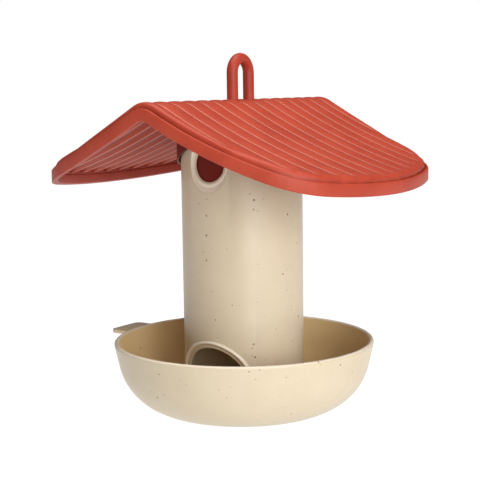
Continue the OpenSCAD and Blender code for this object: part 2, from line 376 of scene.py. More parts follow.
@dataclass(frozen=True)
class Wire:
    """A shader socket that takes part in Python expressions."""

    bench: "Bench"
    socket: bpy.types.NodeSocket

    def _math(self, operation: str, first: "Wire | float", second: "Wire | float") -> "Wire":
        """Adds a Math node on two values or wires."""
        return self.bench.node("ShaderNodeMath", {"operation": operation}, {0: first, 1: second})

    def __add__(self, other: "Wire | float") -> "Wire":
        """Sum."""
        return self._math("ADD", self, other)

    def __radd__(self, other: "Wire | float") -> "Wire":
        """Sum with a number on the left."""
        return self._math("ADD", other, self)

    def __sub__(self, other: "Wire | float") -> "Wire":
        """Difference."""
        return self._math("SUBTRACT", self, other)

    def __rsub__(self, other: "Wire | float") -> "Wire":
        """Difference with a number on the left."""
        return self._math("SUBTRACT", other, self)

    def __mul__(self, other: "Wire | float") -> "Wire":
        """Product."""
        return self._math("MULTIPLY", self, other)

    def __rmul__(self, other: "Wire | float") -> "Wire":
        """Product with a number on the left."""
        return self._math("MULTIPLY", other, self)

    def __gt__(self, other: "Wire | float") -> "Wire":
        """1 where the wire is greater."""
        return self._math("GREATER_THAN", self, other)

    def fraction(self) -> "Wire":
        """The part behind the decimal point."""
        return self._math("FRACT", self, 0.0)

    def size(self) -> "Wire":
        """The value without its sign."""
        return self._math("ABSOLUTE", self, 0.0)

    def faded(self, full: float, none: float) -> "Wire":
        """1 at one value and 0 at another, with a soft change between them."""
        return self.bench.node("ShaderNodeMapRange", {"interpolation_type": "SMOOTHSTEP", "clamp": True},
                               {0: self, 1: full, 2: none, 3: 1.0, 4: 0.0})


Input = Wire | float | Colour


class Bench:
    """Where the nodes of a material, or of the sky, are put together."""

    def __init__(self, owner: bpy.types.Material | bpy.types.World) -> None:
        """Starts with an empty node tree."""
        self.owner = owner
        owner.use_nodes = True
        self.tree = owner.node_tree
        self.tree.nodes.clear()

    def node(self, kind: str, settings: dict[str, str | bool], sockets: dict[str | int, Input],
             output: str | int = 0) -> Wire:
        """Adds a node.

        Args:
            kind: The node's type.
            settings: Its settings, which are set first.
            sockets: Values or wires for its inputs, by name or place.
            output: The wanted output, by name or place.

        Returns:
            The wanted output.
        """
        made = self.tree.nodes.new(kind)
        for name, value in settings.items():
            setattr(made, name, value)
        for key, value in sockets.items():
            if isinstance(value, Wire):
                self.tree.links.new(value.socket, made.inputs[key])
            else:
                made.inputs[key].default_value = value
        return Wire(self, made.outputs[output])

    def place(self) -> Wire:
        """The place on the piece, in metres of the part's frame."""
        return self.node("ShaderNodeTexCoord", {}, {}, "Object")

    def stored(self, name: str) -> Wire:
        """The number that is stored at the piece's vertices under a name."""
        return self.node("ShaderNodeAttribute", {"attribute_name": name}, {}, "Fac")

    def noise(self, scale: float, detail: float = 2.0, roughness: float = 0.5) -> Wire:
        """Cloudy noise with a given number of blots per metre."""
        sockets = {"Vector": self.place(), "Scale": scale, "Detail": detail, "Roughness": roughness}
        return self.node("ShaderNodeTexNoise", {}, sockets)

    def blend(self, amount: Wire | float, first: Wire | Colour, second: Wire | Colour) -> Wire:
        """Mixes two colours.

        Args:
            amount: How much of the second colour shows, from 0 to 1.
            first: The first colour.
            second: The second colour.

        Returns:
            The mixed colour.
        """
        return self.node("ShaderNodeMix", {"data_type": "RGBA"}, {0: amount, 6: first, 7: second}, 2)

    def bump(self, height: Wire, depth: float, strength: float) -> Wire:
        """Turns a height of 0 to 1 into a relief of that depth."""
        return self.node("ShaderNodeBump", {}, {"Strength": strength, "Distance": depth, "Height": height})

    def shade(self, **sockets: Input) -> bpy.types.Material:
        """Ends the material in a Principled shader.

        Args:
            **sockets: The shader's inputs, with _ for each space of their names.

        Returns:
            The material.
        """
        named = {key.replace("_", " "): value for key, value in sockets.items()}
        self.end("ShaderNodeOutputMaterial", self.node("ShaderNodeBsdfPrincipled", {}, named))
        return self.owner

    def end(self, kind: str, shader: Wire) -> None:
        """Leads a shader to a new output node."""
        output = self.tree.nodes.new(kind)
        self.tree.links.new(shader.socket, output.inputs["Surface"])


def paint(red: float, green: float, blue: float) -> Colour:
    """Turns a colour of 0 to 255 as seen on a screen into the shader's linear values."""
    values = [c / 255 for c in (red, green, blue)]
    return tuple(c / 12.92 if c <= 0.04045 else ((c + 0.055) / 1.055) ** 2.4 for c in values) + (1.0,)


@dataclass(frozen=True)
class Specks:
    """Round bits of one sort in a plastic that is divided into cells.

    Each cell holds one bit at most. The bit's largest radius and its soft edge are shares of the
    cell, share is the part of the cells that hold a bit, and strength is how much of its colour shows.
    """

    per_metre: float
    radius: float
    share: float
    strength: float
    colour: Colour
    soft_edge: float = 0.02

    def mask(self, bench: Bench) -> Wire:
        """Scatters the bits.

        Args:
            bench: The material's bench.

        Returns:
            1 in a bit and 0 outside.
        """
        sockets = {"Vector": bench.place(), "Scale": self.per_metre, "Randomness": 1.0}
        distance = bench.node("ShaderNodeTexVoronoi", {}, sockets, "Distance")
        cell = bench.node("ShaderNodeTexVoronoi", {}, sockets, "Color")
        drawn = bench.node("ShaderNodeSeparateColor", {}, {0: cell}, 0)
        size = bench.node("ShaderNodeSeparateColor", {}, {0: cell}, 1)
        inside = (distance - size * self.radius).faded(0.0, self.soft_edge)
        return inside * (drawn > 1 - self.share)


@dataclass(frozen=True)
class SpeckledPlastic:
    """Matte beige plastic filled with plant fibre, whose bits show as sparse dark specks."""

    slot: Slot = Slot.BEIGE_PLASTIC
    light: Colour = paint(203, 188, 161)
    deep: Colour = paint(193, 176, 148)
    # Painted highlight: edge is the lighter colour where the rims, beads and ring slopes catch the light.
    edge: Colour = paint(246, 236, 216)
    edge_highlight_share: float = 0.8
    # Painted bounce light: inside is the yellower tint that light bouncing between the bowl's walls gives its
    # inner wall.
    inside: Colour = paint(228, 199, 140)
    bounce_tint_share: float = 0.9
    clouds_per_metre: float = 38
    cloud_span: Point = (0.7, 0.3)
    cloud_share: float = 0.45
    grains_per_metre: float = 1100
    grain_span: Point = (0.85, 0.25)
    grain_share: float = 0.12
    specks: tuple[Specks, ...] = (
        Specks(per_metre=480, radius=0.17, share=0.12, strength=0.45, colour=paint(150, 124, 96)),
        Specks(per_metre=290, radius=0.17, share=0.22, strength=0.6, colour=paint(150, 124, 96)),
        Specks(per_metre=170, radius=0.13, share=0.26, strength=0.8, colour=paint(104, 80, 56)))
    roughness: float = 0.40
    rough_swing: float = 0.12
    patches_per_metre: float = 240
    dents_per_metre: float = 160
    grain_height: float = 0.7
    relief: float = 0.06 * MM

    def make(self, name: str) -> bpy.types.Material:
        """Builds the material.

        Args:
            name: The material's name.

        Returns:
            The material.
        """
        bench = Bench(bpy.data.materials.new(name))
        cloud = bench.noise(self.clouds_per_metre, detail=4, roughness=0.6)
        body = bench.blend(cloud.faded(*self.cloud_span) * self.cloud_share, self.light, self.deep)
        # Painted bounce light: a yellower tint on the bowl's inner wall.
        body = bench.blend(bench.stored("bounce_tint") * self.bounce_tint_share, body, self.inside)
        # Painted highlight on the bowl's rim, the tube's beads and the upper rings' slopes.
        body = bench.blend(bench.stored("edge_highlight") * self.edge_highlight_share, body, self.edge)
        grain = bench.noise(self.grains_per_metre)
        body = bench.blend(grain.faded(*self.grain_span) * self.grain_share, body, self.deep)
        for bits in self.specks:
            body = bench.blend(bits.mask(bench) * bits.strength, body, bits.colour)
        patches = bench.noise(self.patches_per_metre, detail=3)
        rough = patches * self.rough_swing + (self.roughness - self.rough_swing / 2)
        dents = bench.noise(self.dents_per_metre, detail=3)
        height = grain * self.grain_height + dents * (1 - self.grain_height)
        relief = bench.bump(height, self.relief, strength=0.5)
        return bench.shade(Base_Color=body, Roughness=rough, Normal=relief, Specular_IOR_Level=0.55)


@dataclass(frozen=True)
class Terracotta:
    """Matte terracotta plastic with a fine mould grain.

    Where a rib pitch is given, a painted highlight lies on the lines between the ribs and painted shade
    darkens the hollows under the roof. Each line's two distances are where it shows fully and where it ends.
    """

    slot: Slot = Slot.TERRACOTTA_PLASTIC
    light: Colour = paint(167, 62, 40)
    deep: Colour = paint(157, 54, 34)
    clouds_per_metre: float = 30
    cloud_span: Point = (0.62, 0.38)
    grains_per_metre: float = 1000
    grain_span: Point = (0.75, 0.3)
    grain_share: float = 0.3
    rib_pitch: float = 0.0
    # Painted highlight: worn is the light colour painted along the lines between the ribs, where their edges
    # catch the light.
    line_highlight: Colour = paint(206, 140, 122)
    line_highlight_span: Point = (0.2 * MM, 0.8 * MM)
    line_highlight_share: float = 0.8
    # Painted shade: hollow is the dark colour painted into the rib hollows under the roof.
    hollow: Colour = paint(112, 34, 23)
    hollow_shade_span: Point = (4.5 * MM, 1.2 * MM)
    hollow_shade_share: float = 0.5
    roughness: float = 0.48
    rough_swing: float = 0.12
    gloss: float = 0.28
    relief: float = 0.08 * MM

    def ribbed(self, bench: Bench, body: Wire) -> Wire:
        """Paints a highlight on the lines between the ribs and paints shade in the hollows under the roof.

        Args:
            bench: The material's bench.
            body: The colour so far.

        Returns:
            The colour with its lines.
        """
        along = bench.node("ShaderNodeSeparateXYZ", {}, {0: bench.place()}, 1)
        off = (((along * (1 / self.rib_pitch)).fraction() + 1).fraction() - 0.5).size() * self.rib_pitch
        rib_highlight, below = bench.stored("rib_highlight"), bench.stored("below")
        # Painted shade in the hollows under the roof.
        body = bench.blend(off.faded(*self.hollow_shade_span) * below * self.hollow_shade_share, body, self.hollow)
        # Painted highlight along the lines between the ribs.
        return bench.blend(off.faded(*self.line_highlight_span) * rib_highlight * self.line_highlight_share, body, self.line_highlight)

    def make(self, name: str) -> bpy.types.Material:
        """Builds the material.

        Args:
            name: The material's name.

        Returns:
            The material.
        """
        bench = Bench(bpy.data.materials.new(name))
        cloud = bench.noise(self.clouds_per_metre, detail=4, roughness=0.6)
        body = bench.blend(cloud.faded(*self.cloud_span), self.light, self.deep)
        grain = bench.noise(self.grains_per_metre, roughness=0.6)
        body = bench.blend(grain.faded(*self.grain_span) * self.grain_share, body, self.deep)
        if self.rib_pitch:
            body = self.ribbed(bench, body)
        rough = grain * self.rough_swing + (self.roughness - self.rough_swing / 2)
        relief = bench.bump(grain, self.relief, strength=0.2)
        return bench.shade(Base_Color=body, Roughness=rough, Normal=relief, Specular_IOR_Level=self.gloss)


@dataclass(frozen=True)
class ZincedSteel:
    """Plain zinc-plated steel."""

    slot: Slot = Slot.SCREW_STEEL
    metal: Colour = (0.58, 0.58, 0.60, 1.0)
    dull: Colour = (0.42, 0.43, 0.46, 1.0)
    spangles_per_metre: float = 700
    roughness: float = 0.24
    rough_swing: float = 0.2

    def make(self, name: str) -> bpy.types.Material:
        """Builds the material.

        Args:
            name: The material's name.

        Returns:
            The material.
        """
        bench = Bench(bpy.data.materials.new(name))
        spangle = bench.noise(self.spangles_per_metre, detail=3)
        body = bench.blend(spangle.faded(0.6, 0.35), self.metal, self.dull)
        rough = spangle * self.rough_swing + self.roughness
        return bench.shade(Base_Color=body, Roughness=rough, Metallic=1.0)


Finish = SpeckledPlastic | Terracotta | ZincedSteel


class Dresser:
    """Puts finishes on pieces and seats the pieces on their bodies."""

    def __init__(self) -> None:
        """Starts with no material made."""
        self.made: dict[Finish, bpy.types.Material] = {}

    def dress(self, piece: bpy.types.Object, finish: Finish, body: Body, node: str) -> None:
        """Dresses a piece and seats it.

        Args:
            piece: The piece.
            finish: The finish it gets.
            body: The body that carries it.
            node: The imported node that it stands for.
        """
        if finish not in self.made:
            self.made[finish] = finish.make(f"{finish.slot.value}_{len(self.made)}")
        piece.data.materials.append(self.made[finish])
        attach(piece, body.value)
        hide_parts(node)
        LOG.info("%s: %d faces on %s", piece.name, len(piece.data.polygons), body.value)


# The feeder's sub-assemblies


@dataclass
class FeedingBowl:
    """The round bowl with its foot, its seed dome, the tube's seat and the grip tab."""

    radius: float = 90 * MM
    height: float = 54 * MM
    wall: float = 3.4 * MM
    floor_slope: float = 16.4
    side_slope: float = 77.5
    bend: float = 41.5 * MM
    foot: float = 36 * MM
    foot_ring: float = 5 * MM
    foot_recess: float = 1.6 * MM
    foot_edge: float = 0.5 * MM
    dome_height: float = 9 * MM
    dome_radius: float = 29 * MM
    seat_inner: float = 37.9 * MM
    seat_outer: float = 41.8 * MM
    seat_depth: float = 1 * MM
    seat_edge: Point = (0.3 * MM, 0.2 * MM)
    drains: int = 6
    drain_radius: float = 2 * MM
    drain_circle: float = 45.8 * MM
    drill_length: float = 30 * MM
    drill_middle: float = 10 * MM
    tab_reach: float = 18 * MM
    tab_root: float = 2.55 * MM
    tab_width: float = 32 * MM
    tab_thickness: float = 2.8 * MM
    tab_drop: float = 2 * MM
    tab_corner: float = 5 * MM
    tab_edge: float = 0.7 * MM
    spigot_inner: float = 36 * MM
    spigot_outer: float = 38.2 * MM
    spigot_root: float = 0.6 * MM
    spigot_rise: float = 11 * MM
    spigot_turn: float = 60
    lug_outer: float = 39.5 * MM
    lug_low: float = 6 * MM
    lug_rise: float = 2.6 * MM
    lug_turn: float = 14
    # The band at the rim that gets the painted highlight, and its soft fade.
    highlight_rim: float = 1 * MM
    highlight_fade: float = 0.5 * MM
    plastic: SpeckledPlastic = SpeckledPlastic()

    @property
    def floor(self) -> float:
        """Height of the floor at the tube's seat."""
        slope = math.radians(self.floor_slope)
        return self.wall / math.cos(slope) + (self.seat_outer - self.foot) * math.tan(slope)

    def dome(self, base: float) -> Outline:
        """The seed dome's line over a base height, from its middle outwards."""
        return [(self.dome_radius * i / 16, base + self.dome_height * (1 + math.cos(math.pi * i / 16)) / 2)
                for i in range(17)]

    def outline(self) -> Outline:
        """Draws the bowl's section.

        Returns:
            The section from the middle of the underside round the rim to the middle of the dome.
        """
        half = self.wall / 2
        tilt = math.radians(self.side_slope)
        side_top = (self.radius - half * (1 - math.sin(tilt)), self.height - half * (1 + math.cos(tilt)))
        floor_line = shifted((self.foot, 0), polar(self.bend, self.floor_slope + 90))
        side_line = shifted(side_top, polar(self.bend, self.side_slope + 90))
        centre = crossing(floor_line, self.floor_slope, side_line, self.side_slope)
        rim = shifted(side_top, polar(half, self.side_slope + 90))
        low, high = self.floor_slope - 90, self.side_slope - 90
        inner, outer, soft = self.foot - self.foot_ring, self.foot - self.foot_edge, self.foot_edge
        floor, seat = self.floor, self.floor - self.seat_depth
        edge_wide, edge_deep = self.seat_edge
        return (self.dome(self.foot_recess)
                + [(inner, self.foot_recess), (inner, soft), (inner + soft, 0), (outer, 0),
                   (outer + soft * 0.7, soft * 0.25)]
                + arc(centre, self.bend, low, high, steps=36)
                + arc(rim, half, high, high + 180, steps=16)
                + arc(centre, self.bend - self.wall, high, low, steps=36)
                + [(self.seat_outer + edge_wide, floor), (self.seat_outer, floor - edge_deep),
                   (self.seat_outer, seat), (self.seat_inner, seat), (self.seat_inner, floor)]
                + self.dome(floor)[::-1])

    def tab(self) -> Form:
        """Builds the grip tab.

        Returns:
            The tab, rooted in the bowl's wall.
        """
        form = Form()
        far, root = -(self.radius + self.tab_reach), -(self.radius - self.tab_root)
        half, top = self.tab_width / 2, self.height - self.tab_drop
        form.sheet([(root, -half, top), (far, -half, top), (far, half, top), (root, half, top)])
        corners = [v for v in form.bm.verts if v.co.x < far + NEAR]
        bmesh.ops.bevel(form.bm, geom=corners, offset=self.tab_corner, offset_type="OFFSET", segments=10,
                        profile=0.5, affect="VERTICES", material=-1)
        form.pull(form.bm.faces[:], (0, 0, -self.tab_thickness))
        form.close()
        rims = [e for e in form.bm.edges if abs(e.verts[0].co.z - e.verts[1].co.z) < NEAR
                and min(v.co.x for v in e.verts) < root - NEAR]
        bmesh.ops.bevel(form.bm, geom=rims, offset=self.tab_edge, offset_type="OFFSET", segments=3,
                        profile=0.5, affect="EDGES", material=-1, clamp_overlap=True)
        form.close()
        return form

    def drills(self) -> Form:
        """Builds the drills of the drain holes.

        Returns:
            The drills, in a circle round the seat.
        """
        form = Form()
        for i in range(self.drains):
            spot = polar(self.drain_circle, (i + 0.5) * 360 / self.drains)
            bmesh.ops.create_cone(form.bm, cap_ends=True, segments=24, radius1=self.drain_radius,
                                  radius2=self.drain_radius, depth=self.drill_length,
                                  matrix=Matrix.Translation((*spot, self.drill_middle)))
        return form

    def lock(self, middle: float) -> Form:
        """One wall of the tube's spigot, with the twist lock's lug.

        Args:
            middle: Angle of the wall's middle.

        Returns:
            The wall and the lug.
        """
        form, seat = Form(), self.floor - self.seat_depth
        form.sector(self.spigot_inner, self.spigot_outer, seat - self.spigot_root, seat + self.spigot_rise,
                    middle, self.spigot_turn)
        low = seat + self.lug_low
        form.sector(self.spigot_outer - MM, self.lug_outer, low, low + self.lug_rise, middle, self.lug_turn)
        return form

    def edge_highlight_amount(self, vert: bpy.types.MeshVertex) -> float:
        """How much painted highlight the plastic has at a vertex: fully on the rim."""
        return (vert.co.z - self.height + self.highlight_rim) / self.highlight_fade

    def bounce_tint_amount(self, vert: bpy.types.MeshVertex) -> float:
        """Tells how much painted bounce light, a yellower tint, the plastic has at a vertex.

        Args:
            vert: The vertex.

        Returns:
            1 on the inner wall and 0 elsewhere.
        """
        inwards = vert.normal.xy.dot(vert.co.xy) < 0
        below_rim = vert.co.z < self.height - self.highlight_rim
        return float(inwards and below_rim and vert.co.xy.length > self.seat_outer)

    def build(self) -> bpy.types.Object:
        """Builds the bowl.

        Returns:
            The piece.
        """
        form = Form()
        form.turn(self.outline(), steps=160, closed=False)
        form.cut(self.drills())
        form.add(self.tab())
        for middle in (0, 180):
            form.add(self.lock(middle))
        bowl = form.finish("feeding_bowl")
        # Painted highlight on the rim.
        mark(bowl, "edge_highlight", self.edge_highlight_amount)
        # Painted bounce light on the inner wall.
        mark(bowl, "bounce_tint", self.bounce_tint_amount)
        return bowl

    def dress(self, dresser: Dresser) -> None:
        """Builds the bowl and dresses it."""
        dresser.dress(self.build(), self.plastic, Body.BOWL, "bowl")


@dataclass
class PortRing:
    """A moulded ring that lines a port and follows the tube's wall.

    Each of its sections is half a width, half a height and a rise over the tube's face.
    """

    tube_radius: float
    height: float
    sections: list[tuple[float, float, float]]
    floor: float | None = None
    ceiling: float | None = None
    steps: int = 128

    def build(self, side: Side) -> Form:
        """Builds the ring, cut off at its floor and its ceiling.

        Args:
            side: The end of the ports' axis.

        Returns:
            The ring's form.
        """
        form = Form()
        turns = [math.tau * k / self.steps for k in range(self.steps)]
        form.loft([[self._wrapped(wide * math.cos(t), self.height + tall * math.sin(t), rise, side)
                    for t in turns] for wide, tall, rise in self.sections])
        if self.floor is not None:
            form.clip(self.floor)
        if self.ceiling is not None:
            form.clip(self.ceiling, above=True)
        return form

    def _wrapped(self, x: float, z: float, rise: float, side: Side) -> Vector:
        """Lays a point of the ring on the tube, at a rise over the tube's face."""
        return Vector((x, side.value * math.sqrt((self.tube_radius + rise) ** 2 - x * x), z))


@dataclass
class SeedTube:
    """The tube with its two pairs of ports and the grooves of its twist lock."""

    radius: float = 41.5 * MM
    wall: float = 3 * MM
    foot: float = 4.25 * MM
    top: float = 191.4 * MM
    feed_height: float = 30 * MM
    feed_radius: float = 24 * MM
    feed_floor: float = 6.25 * MM
    feed_dish: float = 1.2 * MM
    bead_outer: float = 29.4 * MM
    bead_inner: float = 27 * MM
    bead_rise: float = 1.1 * MM
    bead_flatness: float = 0.8
    bead_turns: tuple[float, ...] = (0.1, 12, 28, 48, 70, 90, 112, 134, 152, 168)
    upper_height: float = 176.5 * MM
    upper_radius: float = 11.1 * MM
    upper_lip: float = 13.3 * MM
    upper_wide: float = 15.2 * MM
    upper_tall: float = 18.6 * MM
    upper_dish: float = 1.9 * MM
    ring_overlap: float = 0.05 * MM
    drill_length: float = 60 * MM
    groove_radius: float = 39.8 * MM
    groove_low: float = 5.7 * MM
    groove_rise: float = 3.2 * MM
    groove_entry: float = 16
    twist: float = 25
    # Rise over the tube's face above which the beads get the painted highlight.
    highlight_bead: float = 0.8 * MM
    plastic: SpeckledPlastic = SpeckledPlastic()

    def feed_ring(self) -> PortRing:
        """Draws the feeding port's rounded bead and dished band.

        Returns:
            The ring, from the bead's outer edge over the band and back through the port.
        """
        band, port, floor, back = self.bead_inner, self.feed_radius, -self.feed_dish, -self.wall
        middle, half = (self.bead_outer + band) / 2, (self.bead_outer - band) / 2
        bead = [(middle + half * math.cos(a), self.bead_rise * math.sin(a) ** self.bead_flatness)
                for a in (math.radians(t) for t in self.bead_turns)]
        dish = [(band, -0.35 * MM), (band - 0.4 * MM, -0.85 * MM), (band - 1.1 * MM, floor),
                (port + 0.9 * MM, floor), (port + 0.3 * MM, floor - 0.1 * MM), (port, floor - 0.45 * MM)]
        bore = [(port, back + 0.4 * MM), (port + 0.4 * MM, back), (self.bead_outer, back)]
        sections = [(r, r, rise) for r, rise in bead + dish + bore]
        return PortRing(self.radius, self.feed_height, sections, floor=self.feed_floor)

    def upper_ring(self) -> PortRing:
        """Draws the upper port's dished ring and rounded lip.

        Returns:
            The ring, from its outer edge down the slope and back through the port.
        """
        wide, tall, lip, port = self.upper_wide, self.upper_tall, self.upper_lip, self.upper_radius
        floor, back = -self.upper_dish, -self.wall
        slope = [(wide, tall, -0.02 * MM), (wide - 0.25 * MM, tall - 0.25 * MM, -0.08 * MM),
                 (wide - 0.5 * MM, tall - 0.7 * MM, -0.25 * MM),
                 (lip + 0.6 * MM, lip + 2 * MM, floor + 0.2 * MM), (lip + 0.3 * MM, lip + 1.3 * MM, floor),
                 (lip, lip + 0.5 * MM, floor)]
        bore = [(port + 2 * MM, floor - 0.03 * MM), (port + 1.2 * MM, floor - 0.12 * MM),
                (port + 0.5 * MM, floor - 0.3 * MM), (port + 0.1 * MM, floor - 0.55 * MM),
                (port, floor - 0.8 * MM), (port, back + 0.2 * MM), (port + 0.2 * MM, back)]
        sections = slope + [(r, r, rise) for r, rise in bore] + [(wide, tall, back)]
        return PortRing(self.radius, self.upper_height, sections, ceiling=self.top)

    def port_drill(self, height: float, wide: float, tall: float, side: Side) -> Form:
        """Builds a drill for one port, a little smaller than its ring.

        Args:
            height: Height of the port's middle.
            wide: Half the ring's width.
            tall: Half its height.
            side: The end of the ports' axis.

        Returns:
            The drill.
        """
        drill = Form()
        place = Matrix.Translation((0, side.value * self.radius, height))
        lie_down = Matrix.Rotation(math.pi / 2, 4, "X")
        size = Matrix.Diagonal((wide - self.ring_overlap, tall - self.ring_overlap, self.drill_length, 1))
        bmesh.ops.create_cone(drill.bm, cap_ends=True, segments=128, radius1=1, radius2=1, depth=1,
                              matrix=place @ lie_down @ size)
        return drill

    def grooves(self) -> list[Form]:
        """Builds the drills of the twist lock's grooves.

        Returns:
            For each of the two grooves, its run and its entry from below.
        """
        inner, low = self.radius - self.wall - MM, self.foot + self.groove_low
        run = (low, low + self.groove_rise, self.twist / 2, self.twist + self.groove_entry)
        entry = (self.foot - MM, low + MM, self.twist, self.groove_entry)
        drills = []
        for side in (0, 180):
            for bottom, top, back, turn in (run, entry):
                drills.append(Form())
                drills[-1].sector(inner, self.groove_radius, bottom, top, side - back, turn)
        return drills

    def edge_highlight_amount(self, vert: bpy.types.MeshVertex) -> float:
        """Tells how much painted highlight the plastic has at a vertex.

        Args:
            vert: The vertex.

        Returns:
            1 on the feeding ports' beads and on the upper rings' slopes, and 0 elsewhere.
        """
        at = vert.co
        out = math.hypot(at.x, at.y) - self.radius
        if out > self.highlight_bead:
            return 1.0
        near = abs(at.x) < self.upper_wide and abs(at.z - self.upper_height) < self.upper_tall
        sloping = -self.upper_dish - 0.1 * MM < out < -0.15 * MM
        return float(near and sloping and at.z < self.top - MM)

    def build(self) -> bpy.types.Object:
        """Builds the tube.

        Returns:
            The piece.
        """
        form, inner = Form(), self.radius - self.wall
        form.turn(softened([(inner, self.foot, 0.3 * MM), (self.radius, self.foot, 0.3 * MM),
                            (self.radius, self.top, 0.7 * MM), (inner, self.top, 0.5 * MM)]), steps=256)
        drills = Form()
        for side in Side:
            feed = self.port_drill(self.feed_height, self.bead_outer, self.bead_outer, side)
            feed.clip(self.feed_floor)
            drills.add(feed)
            drills.add(self.port_drill(self.upper_height, self.upper_wide, self.upper_tall, side))
        for groove in self.grooves():
            drills.add(groove)
        form.cut(drills)
        for side in Side:
            form.add(self.feed_ring().build(side))
            form.add(self.upper_ring().build(side))
        tube = form.finish("seed_tube_shell")
        # Painted highlight on the beads and on the upper rings' slopes.
        mark(tube, "edge_highlight", self.edge_highlight_amount)
        return tube

    def dress(self, dresser: Dresser) -> None:
        """Builds the tube and dresses it."""
        dresser.dress(self.build(), self.plastic, Body.TUBE, "seed_tube")


@dataclass
class RoofShape:
    """The roof's surface and plan, which the canopy and the plug share."""

    half_width: float = 118.5 * MM
    half_length: float = 109.5 * MM
    gable: float = 240 * MM
    eave: float = 215 * MM
    corner: float = 45 * MM
    ridge: float = 218.1 * MM
    slope: float = 29.7
    ridge_round: float = 18 * MM
    flare: float = 500 * MM
    shell: float = 3.3 * MM
    pitch: float = 14.93 * MM
    rib: float = 1.25 * MM
    hollow: float = 2.3 * MM
    fillet: float = 0.7 * MM

    def __post_init__(self) -> None:
        """Finds the centres of the plan's arcs and where the corner arcs begin and end."""
        self.gable_c = Vector((0, self.half_length - self.gable))
        self.eave_c = Vector((self.half_width - self.eave, 0))
        line = self.eave_c - self.gable_c
        reach = line.length
        a, b = self.gable - self.corner, self.eave - self.corner
        x = (a * a - b * b + reach * reach) / (2 * reach)
        y = math.sqrt(a * a - x * x)
        self.corner_c = self.gable_c + (x * line + y * Vector((line.y, -line.x))) / reach
        self.gable_end = self._heading(self.corner_c - self.gable_c)
        self.eave_end = self._heading(self.corner_c - self.eave_c)

    @staticmethod
    def _heading(way: Vector) -> float:
        """Direction of a plan vector."""
        return math.degrees(math.atan2(way.y, way.x))

    def plan(self, inset: float, fine: int = 24) -> Outline:
        """The roof's plan outline.

        Args:
            inset: Distance inside the roof's edge.
            fine: Steps of each arc in a quarter.

        Returns:
            The closed outline, anticlockwise from the middle of the right eave.
        """
        quarter = (arc(tuple(self.eave_c), self.eave - inset, 0, self.eave_end, fine)
                   + arc(tuple(self.corner_c), self.corner - inset, self.eave_end, self.gable_end, fine)[1:]
                   + arc(tuple(self.gable_c), self.gable - inset, self.gable_end, 90, fine)[1:])
        half = quarter + [(-x, y) for x, y in reversed(quarter[:-1])]
        return half + [(x, -y) for x, y in reversed(half[1:-1])]

    def depth_inside(self, x: float, y: float) -> float:
        """Measures how far a plan point lies inside the roof's edge.

        Args:
            x: The point's distance from the ridge.
            y: Its place along the ridge.

        Returns:
            The distance.
        """
        spot = Vector((abs(x), abs(y)))
        turn = self._heading(spot - self.corner_c)
        if turn < self.eave_end or spot.y < 1e-9:
            return self.eave - (spot - self.eave_c).length
        if turn > self.gable_end:
            return self.gable - (spot - self.gable_c).length
        return self.corner - (spot - self.corner_c).length

    def lift(self, x: float, rise: float) -> float:
        """Height of the roof over a plan place.

        Args:
            x: Distance from the ridge.
            rise: Height over the roof's surface, square to it.

        Returns:
            The height above the foot.
        """
        tilt = math.radians(self.slope)
        low = self.ridge - self.ridge_round
        x = abs(x)
        if x < (self.ridge_round + rise) * math.sin(tilt):
            return low + math.sqrt((self.ridge_round + rise) ** 2 - x * x)
        far = self.flare + self.ridge_round
        out = far * math.sin(tilt) - x
        return low + far * math.cos(tilt) - math.sqrt((self.flare - rise) ** 2 - out * out)

    def off_crest(self, y: float) -> float:
        """Distance of a place along the ridge from the nearest rib's crest."""
        return abs(y / self.pitch - round(y / self.pitch)) * self.pitch

    def barrel(self, y: float, height: float) -> float:
        """Shapes a row of barrel arcs along the ridge, one to a rib.

        Args:
            y: The place along the ridge.
            height: The height of the arcs.

        Returns:
            The rise at that place.
        """
        half, off = self.pitch / 2, self.off_crest(y)
        bow = (half * half + height * height) / (2 * height)
        return height - bow + math.sqrt(bow * bow - off * off)

    def ribbing(self, y: float) -> float:
        """Shapes the ribs, with a small fillet between two of them.

        Args:
            y: The place along the ridge.

        Returns:
            The rise at that place.
        """
        half = self.pitch / 2
        edge = half - self.off_crest(y)
        if edge < self.fillet:
            lean = 2 * self.rib * half / (half * half - self.rib * self.rib)
            return lean * (edge * edge / (2 * self.fillet) + self.fillet / 2)
        return self.barrel(y, self.rib)


